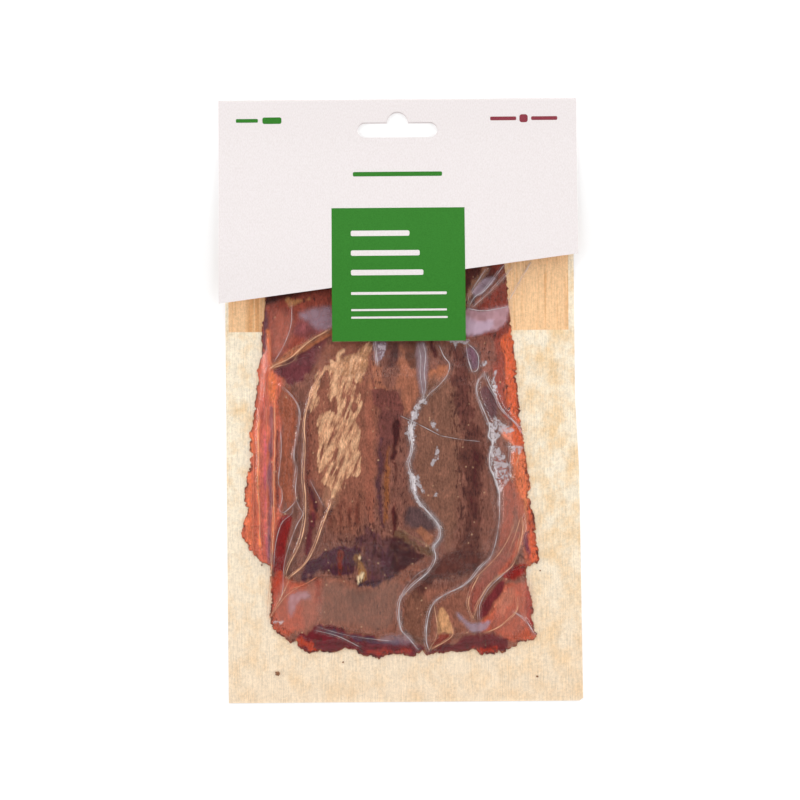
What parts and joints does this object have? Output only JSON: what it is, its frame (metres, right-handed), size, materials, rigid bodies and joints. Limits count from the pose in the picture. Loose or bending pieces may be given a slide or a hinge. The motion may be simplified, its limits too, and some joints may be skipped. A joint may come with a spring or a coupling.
{
  "type": "sealed hanging pack of sliced bresaola",
  "caption": "Flat hanging retail pack of sliced air-dried beef: clear film sealed tight over the slices on a wood-print backing sheet, with a folded header card and a euro hole.",
  "frame": {"origin": "under the middle of the pack's bounding box, on the surface it lies on", "axes": "+Y up the pack towards the card's fold, +X to the right as the front is read, +Z out of the front"},
  "size_m": [0.144, 0.241, 0.0089],
  "materials": {
    "card": "uncoated off-white board",
    "print": "flat green print on board",
    "backing": "printed pale wood under a sealed film",
    "film": "clear glossy film",
    "meat": "dark red cured meat, moist under film"
  },
  "bodies": {
    "root": {"header_card": "card", "backing_sheet": "backing", "film_and_slices": "meat"}
  },
  "joints": []
}
